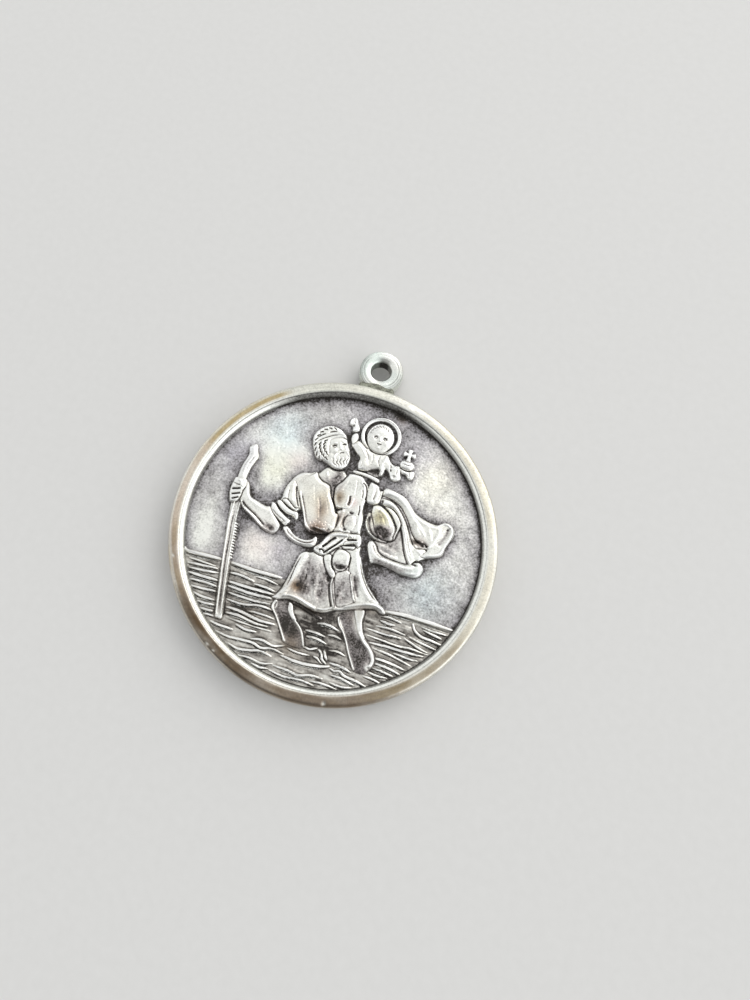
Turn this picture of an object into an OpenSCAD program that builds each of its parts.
// Round silver medallion, struck in relief on one side, with a soldered eye.
// It lies on its plain back: z = 0 is the back, +Y points to the eye.

/* [Disc] */
// Outer diameter of the disc
disc_d = 22; // [20:0.5:24]
// Height of the rim above the back
disc_h = 2; // [1.9:0.05:2.2]
// Height of the sunk field above the back
field_z = 1.4; // [1.35:0.05:1.5]
// Width of the rim's nearly flat top band
band_w = 0.8; // [0.7:0.05:0.9]
// Width of the slope between the band and the field
slope_w = 0.32; // [0.25:0.01:0.4]
// Rounding of the disc's outer edges
edge_round = 0.22; // [0.15:0.01:0.25]

/* [Eye] */
// Outer diameter of the eye ring
eye_d = 3.2; // [2.9:0.1:3.3]
// Diameter of the hole through the eye
eye_hole_d = 1.38; // [1.2:0.02:1.5]
// Thickness of the eye ring
eye_h = 1.3; // [1.2:0.05:1.4]
// Length of the straight wall in the middle of the hole
eye_wall_h = 0.6; // [0.5:0.05:0.7]
// Height of the middle of the eye above the back
eye_z = 0.95; // [0.9:0.05:1.05]
// How far the eye ring reaches into the disc
eye_sink = 0.12; // [0.1:0.02:0.16]

/* [Relief] */
// Height of the lowest layer of the figures above the field
low_relief = 0.2; // [0.15:0.01:0.22]
// Height of the highest layer of the figures above the field
high_relief = 0.46; // [0.4:0.01:0.5]
// Height of the water's ridges above the field
ridge_relief = 0.12; // [0.08:0.01:0.15]
// How deep each layer is rooted below the field
root = 0.2; // [0.1:0.05:0.3]

/* [Water] */
// Place of the water's edge, counted from the disc's centre
water_y = -3.75; // [-4:0.05:-3.5]
// Distance from one ridge to the next
ridge_step = 0.37; // [0.34:0.01:0.42]
// Width of a ridge
ridge_w = 0.14; // [0.1:0.01:0.18]
// Number of ridges
ridges = 16; // [8:1:16]
// How much bolder the first ridge is, at the water's edge
edge_ridge = 1.3; // [1:0.05:1.4]

/* [Hidden] */
$fn = 96;
silver = "#c9c5bb";

// The outlines are drawn for a disc of this diameter and follow disc_d
drawn_d = 22;
disc_r = disc_d / 2;
band_in_r = disc_r - band_w;
field_r = band_in_r - slope_w;
// The small ledge inside the band
step_r = 0.1;
step_z = 0.1;
eye_y = disc_r + eye_d / 2 - eye_sink;
curve_steps = 3;

// One point of a smooth closed curve between b and c
function between(a, b, c, d, t) =
    0.5 * (2 * b + (c - a) * t + (2 * a - 5 * b + 4 * c - d) * t * t
    + (3 * b - a - 3 * c + d) * t * t * t);

// A smooth closed curve through the given points, at the size of the disc
function smooth(p) =
    let (n = len(p), k = disc_d / drawn_d)
    [for (i = [0:n - 1], s = [0:curve_steps - 1])
        k * between(p[(i + n - 1) % n], p[i], p[(i + 1) % n], p[(i + 2) % n], s / curve_steps)];

// The height of a layer, from 0 for the lowest to 1 for the highest
function layer(level) = low_relief + level * (high_relief - low_relief);

// The middle of the rounded edge, in from the sharp corner
edge_bend = 0.3 * edge_round;

// Disc and rim, from the back centre round the outside to the field
disc_profile = [
    [0, 0],
    [disc_r - edge_round, 0],
    [disc_r - edge_bend, edge_bend],
    [disc_r, edge_round],
    [disc_r, disc_h - edge_round],
    [disc_r - edge_bend, disc_h - edge_bend],
    [disc_r - edge_round, disc_h],
    [band_in_r + step_r, disc_h],
    [band_in_r, disc_h - step_z],
    [band_in_r - step_r, disc_h - step_z],
    [field_r, field_z],
    [0, field_z]
];

// Eye ring, from the hole's wall over the crown to the outside
eye_r = eye_d / 2;
hole_r = eye_hole_d / 2;
eye_wall = eye_r - hole_r;
dish_r = hole_r + 0.38 * eye_wall;
crown_r = hole_r + 0.82 * eye_wall;
shoulder_r = eye_r - 0.03 * eye_wall;
shoulder_z = 0.42 * eye_h;
belly_z = 0.3 * eye_h;
eye_profile = [
    [hole_r, -eye_wall_h / 2],
    [dish_r, -eye_h / 2],
    [crown_r, -eye_h / 2],
    [shoulder_r, -shoulder_z],
    [eye_r, -belly_z],
    [eye_r, belly_z],
    [shoulder_r, shoulder_z],
    [crown_r, eye_h / 2],
    [dish_r, eye_h / 2],
    [hole_r, eye_wall_h / 2]
];

// The solder, from the disc's edge out between the ring and the disc
solder_h = 0.9;
solder_w = 2.5;
solder_tip_w = 1.8;
solder_in = 0.3;
solder_out = 0.42;

// The carrier
leg_left = [[-2.25, -4.8], [-2.42, -5.6], [-1.9, -6.15], [-1.24, -7.1], [-0.95, -7.5], [-0.3, -7.6],
    [0.32, -7.45], [0.15, -7], [-0.07, -6.55], [-0.85, -5.95], [-1.3, -5.2], [-1.4, -4.7]];
leg_right = [[1.93, -4.7], [2.1, -5.43], [2.8, -6.3], [3.41, -7.35], [3.8, -7.85], [4.45, -7.75],
    [4.75, -7.1], [4.54, -6.65], [3.67, -5.96], [3.45, -5.3], [3.37, -4.4], [2.8, -4.2]];
skirt = [[-0.9, -1.45], [-1.63, -1.78], [-1.85, -2.9], [-2.16, -4.4], [-2.5, -5], [-1.46, -4.82],
    [-0.33, -4.96], [0.54, -5.04], [1.54, -4.61], [3.06, -4.09], [4.02, -3.8], [4.71, -3.87],
    [4.1, -3.35], [3.23, -2.57], [2.63, -1.7], [2.13, -0.6], [1.6, 0.1], [0.3, -0.2]];
skirt_folds = [
    [[-1.2, -1.6], [-1.5, -2.4], [-1.7, -3.8], [-1.9, -4.5], [-0.8, -4.65], [0.3, -4.8], [0, -3.4],
        [-0.1, -2]],
    [[0.5, -1.1], [0.5, -1.7], [0.95, -2.1], [1.5, -1.8], [1.5, -1.1], [1, -0.75]],
    [[1.1, -2.3], [0.95, -3], [1.45, -4.45], [2.4, -4.1], [2.2, -3], [1.7, -2.1]],
    [[1.6, -0.8], [1.95, -2.1], [2.7, -3.65], [4, -3.6], [3, -2.5], [2.3, -1.2], [2, -0.4]]];
chest_left = [[-2.2, 3.9], [-1.7, 3.4], [-1.07, 3.2], [-0.53, 2.1], [0, 1.57], [0.02, 0.4],
    [-0.67, -0.05], [-1.33, -0.2], [-1.87, 0.07], [-2.33, 0.93], [-3.07, 2.2], [-3.3, 2.9], [-2.8, 3.5]];
chest_right = [[0.1, 4.45], [-0.4, 3.75], [-0.67, 3.2], [-0.55, 2.4], [-0.15, 1.8], [0.1, 0.5],
    [1, 0.4], [1.75, 0.5], [1.6, 1.6], [1.45, 3], [1.3, 3.95], [0.8, 4.45]];
neck = [[-2.1, 3.6], [-1.8, 4.3], [-1, 4.6], [-0.4, 4.4], [-0.2, 3.9], [-0.6, 2.6], [-1.2, 3.1]];
shoulder = [[-2.2, 3.93], [-2.9, 3.68], [-3.5, 3.25], [-3.89, 2.45], [-3.99, 1.3], [-3.1, 0.9],
    [-2.5, 1.05], [-2.9, 2], [-2.6, 3]];
sleeve_bands = [
    [[-4.15, 1.28], [-3.5, 1.05], [-2.7, 0.86], [-2.49, 0.48], [-2.75, 0.31], [-3.4, 0.55], [-4.05, 0.97]],
    [[-4.5, 1], [-4.1, 0.85], [-3.5, 0.41], [-2.92, 0.12], [-3.2, -0.24], [-3.9, 0.12], [-4.44, 0.59]]];
forearm = [[-6.8, 1.98], [-6.4, 1.72], [-6.1, 1.05], [-5.4, 0.78], [-4.5, 0.72], [-3.9, 0], [-3.52, -0.4],
    [-3.7, -0.9], [-4.3, -1], [-5.2, -0.6], [-6.13, -0.07], [-6.72, 0.59], [-6.95, 1.3]];
hand = [[-7.44, 1.76], [-7.52, 1], [-7.27, 0.28], [-6.95, 0.3], [-6.6, 0.8], [-6.6, 1.85], [-7.1, 2.05]];
head = [[-2.6, 4.78], [-3.05, 5.2], [-3.3, 6.1], [-2.75, 7.15], [-1.8, 7.55], [-1.1, 7.15],
    [-0.55, 6.2], [-0.15, 5.6], [0, 4.9], [-0.4, 4.38], [-1.3, 4.32], [-2, 4.72]];
hair = [[-2.6, 4.9], [-3.15, 5.6], [-3.2, 6.3], [-2.7, 7.05], [-1.8, 7.4], [-1.2, 7],
    [-1.5, 6.4], [-2, 5.9], [-2.1, 5.2]];
sash = [[0, 0.2], [0.8, 0.42], [1.73, 0.53], [2, 0], [1.5, -0.2], [0.6, -0.6], [0.1, -1.25],
    [-0.5, -1.43], [-0.87, -1.2], [-0.55, -0.7], [-0.27, -0.07]];
drape = [[-3.25, -0.4], [-2.9, -0.32], [-2.34, -0.72], [-1.5, -0.78], [-1.05, -0.4], [-0.83, -0.65],
    [-1.1, -1.12], [-2.1, -1.18], [-2.95, -0.85]];

// The staff
staff_top = [[-7.2, 4.3], [-6.85, 4.66], [-6.6, 4.25], [-6.4, 3.83], [-6.6, 3.1], [-6.75, 2],
    [-6.9, 1], [-7.2, 1.2], [-7.33, 2.4], [-7.15, 3.5]];
staff_foot = [[-7.12, 0.6], [-7.05, -0.6], [-6.5, -3.85], [-6, -6.4], [-5.75, -7.25], [-5.3, -7.2],
    [-5.56, -5.8], [-6, -3.4], [-6.4, -1.2], [-6.56, 0.6]];

// The child, with its halo, orb and cross
child_body = [[-0.45, 6.65], [-0.1, 6.92], [0.5, 6.65], [1.3, 6.4], [2.1, 6.45], [2.55, 6.02],
    [3.1, 6], [3.35, 5.3], [2.95, 4.88], [2.5, 5.3], [2.1, 5], [1.4, 5.25], [0.7, 4.98], [0.3, 5.2],
    [0.3, 5.8], [-0.2, 6.25]];
child_arm = [[-0.4, 7.5], [-0.18, 7.2], [-0.3, 6.8], [-0.45, 6.6], [-0.62, 7]];
child_hand = [[-1.05, 8.2], [-0.7, 8.54], [-0.45, 8.15], [-0.3, 7.65], [-0.7, 7.55], [-0.85, 7.9]];
orb_hand = [[3.2, 5.95], [4.1, 5.88], [4.1, 5.35], [3.8, 5.33], [3.3, 5.6]];
seat_bar = [[0.2, 4.84], [1.1, 4.82], [2, 4.62], [2, 4.45], [1.1, 4.66], [0.2, 4.68]];
child_head = [1.3, 7.55];
child_head_r = 0.95;
halo = [1.31, 7.72];
halo_out_r = 1.38;
halo_in_r = 1.17;
orb = [3.58, 6.22];
orb_r = 0.44;
cross = [3.56, 6.98];
cross_arm = 0.38;
cross_w = 0.24;
cross_foot = 0.1;

// The cloak
cloak_knot = [[1.5, 4.35], [2.1, 4.22], [2.45, 3.9], [2.4, 3.1], [1.9, 2.87], [1.5, 3.1]];
cloak_top = [[2.46, 4], [2.7, 4.27], [3.5, 4.19], [4.36, 3.73], [5, 3.12], [5.93, 2.8], [6.5, 2.8],
    [7, 3.07], [7.5, 2.98], [7.75, 2.5], [7.5, 1.6], [7.36, 0.9], [6.8, 0.55], [5.9, 0.2], [5.4, -0.3],
    [5, 0.2], [4.6, 1.2], [4.15, 2.2], [3.8, 2.75], [3, 3], [2.5, 3.3]];
cloak_edge = [[2.5, 3.95], [3.5, 4.1], [4.4, 3.6], [5.1, 2.95], [6.3, 2.6], [7.1, 2.9], [7.55, 2.5],
    [7.2, 1], [6.5, 1.1], [6.8, 2.2], [5.6, 1.4], [4.7, 2.5], [3.8, 3.4], [2.6, 3.8]];
cloak_sleeve = [[2.1, 2.84], [2.86, 2.86], [3.6, 2.3], [4.02, 1.6], [3.9, 0.92], [3.3, 0.7],
    [2.5, 0.75], [2, 1.3], [1.95, 1.9]];
cloak_web = [[2.9, 0.7], [3.8, 0.8], [4.3, 2.1], [5.3, -0.2], [5, -0.7], [3.4, -0.6]];
cloak_fold = [[2.46, 0.25], [2.75, 0.48], [3.1, -0.1], [3.6, -0.43], [5.1, -0.49], [5.93, -0.06],
    [6.36, -0.34], [6.1, -0.97], [5.4, -1.02], [4, -0.74], [2.93, -0.9]];

module plate(points, height)
    translate([0, 0, field_z - root])
        linear_extrude(height + root)
            polygon(smooth(points));

// A low dome, its profile given as shares of the radius and the height
dome_profile = [[1, 0.3], [0.9, 0.66], [0.6, 0.92], [0.3, 1], [0, 1]];

module dome(place, r, height)
    translate([place[0] * disc_d / drawn_d, place[1] * disc_d / drawn_d, field_z])
        rotate_extrude()
            polygon(concat([[0, -root], [r, -root]], [for (p = dome_profile) [p[0] * r, p[1] * height]]));

module disc()
    color(silver)
        rotate_extrude($fn = 180)
            polygon(disc_profile);

module eye()
    color(silver)
        translate([0, eye_y, eye_z])
            rotate_extrude()
                polygon(eye_profile);

// The solder fills the corner between the ring and the disc, clear of the dish round the hole
module solder()
    color(silver)
        translate([0, 0, eye_z - solder_h / 2])
            linear_extrude(solder_h)
                polygon([[-solder_w / 2, disc_r - solder_in], [solder_w / 2, disc_r - solder_in],
                    [solder_tip_w / 2, disc_r + solder_out], [-solder_tip_w / 2, disc_r + solder_out]]);

module water()
    color(silver)
        for (i = [0:ridges - 1]) {
            y = (water_y - i * ridge_step) * disc_d / drawn_d;
            half = sqrt(field_r * field_r - y * y);
            bold = i == 0 ? edge_ridge : 1;
            translate([-half, y - bold * ridge_w / 2, field_z - root])
                cube([2 * half, bold * ridge_w, root + bold * ridge_relief]);
        }

module carrier()
    color(silver) {
        plate(leg_left, layer(0));
        plate(leg_right, layer(0.08));
        plate(skirt, layer(0.25));
        for (i = [0:len(skirt_folds) - 1])
            plate(skirt_folds[i], layer(0.5 + 0.05 * i));
        plate(neck, layer(0.12));
        plate(chest_left, layer(0.82));
        plate(chest_right, layer(0.76));
        plate(shoulder, layer(0.45));
        plate(forearm, layer(0.4));
        plate(sleeve_bands[0], layer(0.7));
        plate(sleeve_bands[1], layer(0.6));
        plate(hand, layer(0.56));
        plate(head, layer(0.88));
        plate(hair, layer(1));
        plate(sash, layer(0.94));
        plate(drape, layer(0.34));
    }

module staff()
    color(silver) {
        plate(staff_top, layer(0.3));
        plate(staff_foot, layer(0.2));
    }

module child()
    color(silver) {
        plate(child_body, layer(0.54));
        plate(child_arm, layer(0.38));
        plate(child_hand, layer(0.46));
        plate(orb_hand, layer(0.42));
        plate(seat_bar, layer(0.16));
        dome(child_head, child_head_r, layer(0.92));
        translate([halo[0] * disc_d / drawn_d, halo[1] * disc_d / drawn_d, field_z - root])
            difference() {
                cylinder(h = root + layer(0.06), r = halo_out_r);
                translate([0, 0, -root])
                    cylinder(h = 3 * root + layer(1), r = halo_in_r);
            }
        dome(orb, orb_r, layer(0.64));
        translate([cross[0] * disc_d / drawn_d, cross[1] * disc_d / drawn_d, field_z - root]) {
            translate([-cross_arm, -cross_w / 2, 0])
                cube([2 * cross_arm, cross_w, root + layer(0.26)]);
            translate([-cross_w / 2, -cross_arm - cross_foot, 0])
                cube([cross_w, 2 * cross_arm + cross_foot, root + layer(0.28)]);
        }
    }

module cloak()
    color(silver) {
        plate(cloak_web, layer(0.04));
        plate(cloak_top, layer(0.32));
        plate(cloak_edge, layer(0.58));
        plate(cloak_sleeve, layer(0.5));
        plate(cloak_fold, layer(0.36));
        plate(cloak_knot, layer(0.66));
    }

module medallion() {
    disc();
    eye();
    solder();
    water();
    carrier();
    staff();
    child();
    cloak();
}

medallion();
